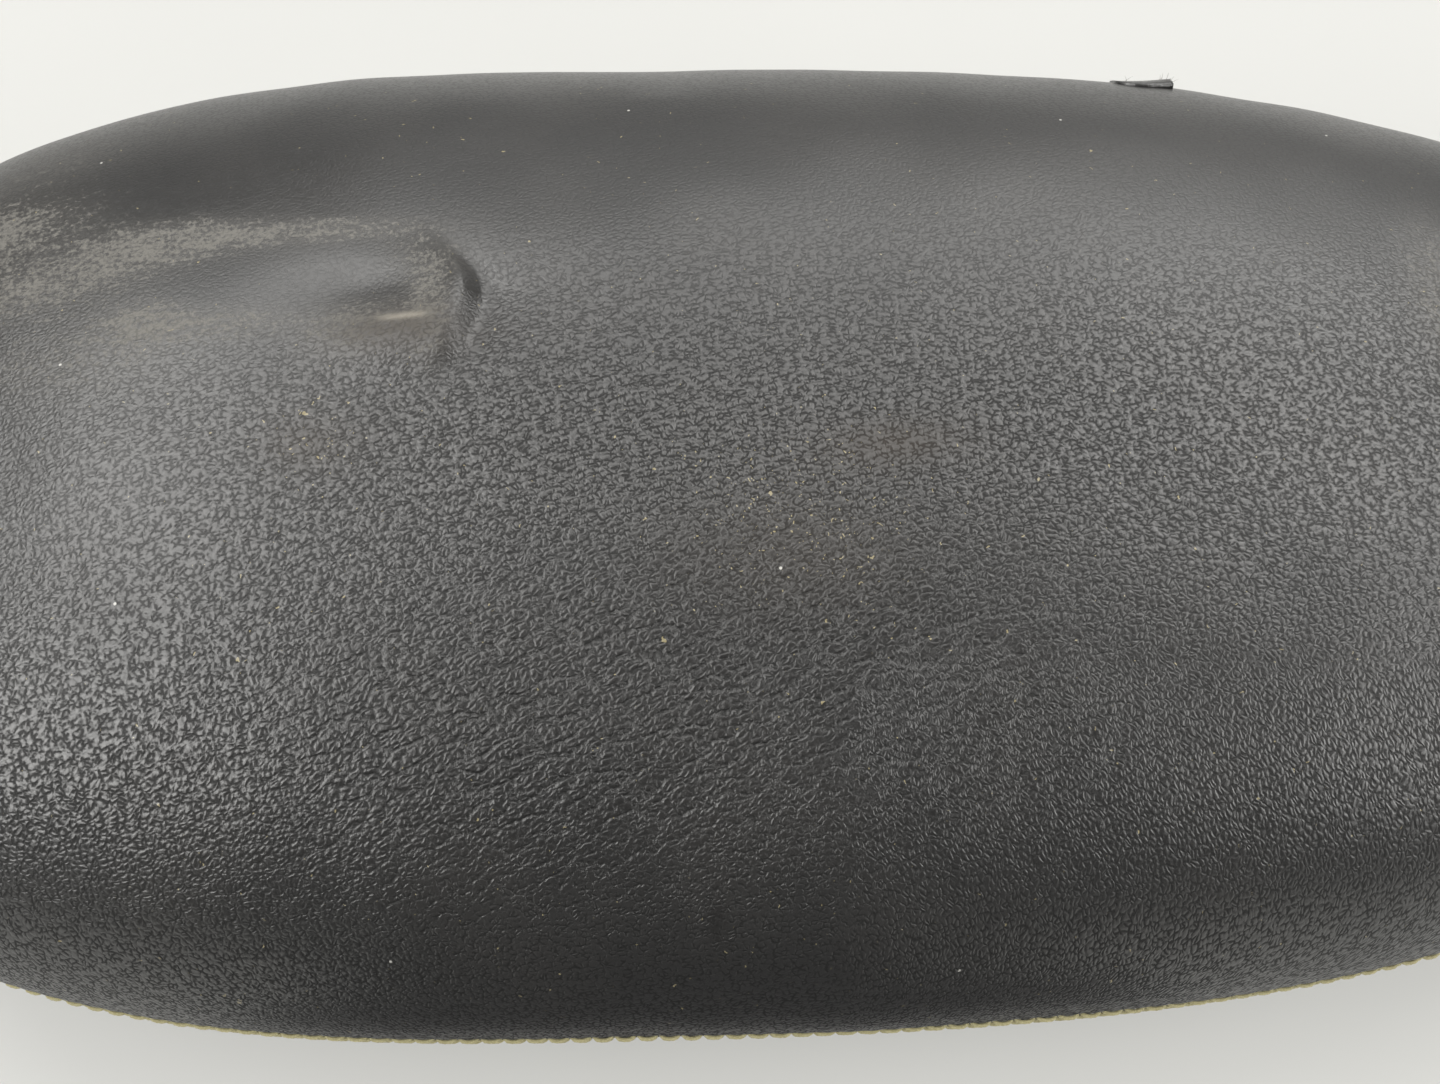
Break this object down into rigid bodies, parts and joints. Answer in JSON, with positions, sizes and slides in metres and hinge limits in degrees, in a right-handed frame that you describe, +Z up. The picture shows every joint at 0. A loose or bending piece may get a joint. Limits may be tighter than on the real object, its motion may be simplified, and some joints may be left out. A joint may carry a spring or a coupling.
{
  "type": "chair armrest pad",
  "caption": "Padded leather armrest top, egg shaped in plan, with contrast topstitching, on a slide-and-swivel adjuster and a flat steel mounting plate.",
  "frame": {"origin": "middle of the mounting plate's underside, under the centre of the pad's plan", "axes": "+X towards the pad's front, hand end; +Y across the pad; +Z up, out of the mounting plate towards the padded top"},
  "size_m": [0.252, 0.128, 0.07],
  "materials": {
    "leather": "black pebble-grained bonded leather, satin, scuffed in places",
    "thread": "pale olive bonded sewing thread",
    "soft_foam": "soft open-cell foam",
    "core_foam": "firm cut foam",
    "plywood": "birch plywood, unfinished",
    "tray_plastic": "black moulded polypropylene, fine spark texture",
    "nylon": "black glass-filled nylon",
    "acetal": "natural acetal",
    "black_steel": "black powder-coated or black-oxide steel",
    "zinc_steel": "bright zinc-plated steel",
    "spring_steel": "rolled spring steel",
    "bronze": "sintered bronze",
    "rubber": "black rubber"
  },
  "bodies": {
    "base": {"mounting_plate": "black_steel", "turntable": "nylon", "turntable_screw_1": "zinc_steel", "turntable_screw_2": "zinc_steel", "turntable_screw_3": "zinc_steel", "thrust_washer": "acetal", "pivot_bolt": "zinc_steel", "wave_washer": "spring_steel", "pivot_nut": "zinc_steel"},
    "carriage": {"slide_carriage": "nylon", "pivot_bushing": "bronze", "slide_detent_leaf": "spring_steel", "swivel_detent_spring": "spring_steel", "spring_screw": "zinc_steel"},
    "pad": {"top_cover": "leather", "lower_band": "leather", "topstitch_upper": "thread", "topstitch_lower": "thread", "comfort_foam": "soft_foam", "foam_core": "core_foam", "carrier_board": "plywood", "staple_1": "zinc_steel", "staple_2": "zinc_steel", "staple_3": "zinc_steel", "staple_4": "zinc_steel", "staple_5": "zinc_steel", "staple_6": "zinc_steel", "staple_7": "zinc_steel", "staple_8": "zinc_steel", "staple_9": "zinc_steel", "staple_10": "zinc_steel", "staple_11": "zinc_steel", "staple_12": "zinc_steel", "t_nut_1": "zinc_steel", "t_nut_2": "zinc_steel", "t_nut_3": "zinc_steel", "t_nut_4": "zinc_steel", "rail_bolt_1": "black_steel", "rail_bolt_2": "black_steel", "rail_bolt_3": "black_steel", "rail_bolt_4": "black_steel", "underside_tray": "tray_plastic", "tray_screw_1": "black_steel", "tray_screw_2": "black_steel", "tray_screw_3": "black_steel", "tray_screw_4": "black_steel", "tray_screw_5": "black_steel", "tray_screw_6": "black_steel", "rail_inner": "zinc_steel", "rail_outer": "zinc_steel", "bumper_front_inner": "rubber", "bumper_front_outer": "rubber", "bumper_rear_inner": "rubber", "bumper_rear_outer": "rubber", "slide_detent_rack": "acetal"}
  },
  "joints": [
    {"name": "pad_swivel", "type": "hinge", "parent": "base", "child": "carriage", "pos_m": [0, 0, 0.012], "axis": [0, 0, 1], "range_deg": [-24, 24], "deforming": ["swivel_detent_spring"]},
    {"name": "pad_slide", "type": "slide", "parent": "carriage", "child": "pad", "axis": [1, 0, 0], "range_m": [-0.025, 0.025], "deforming": ["slide_detent_leaf"]}
  ]
}
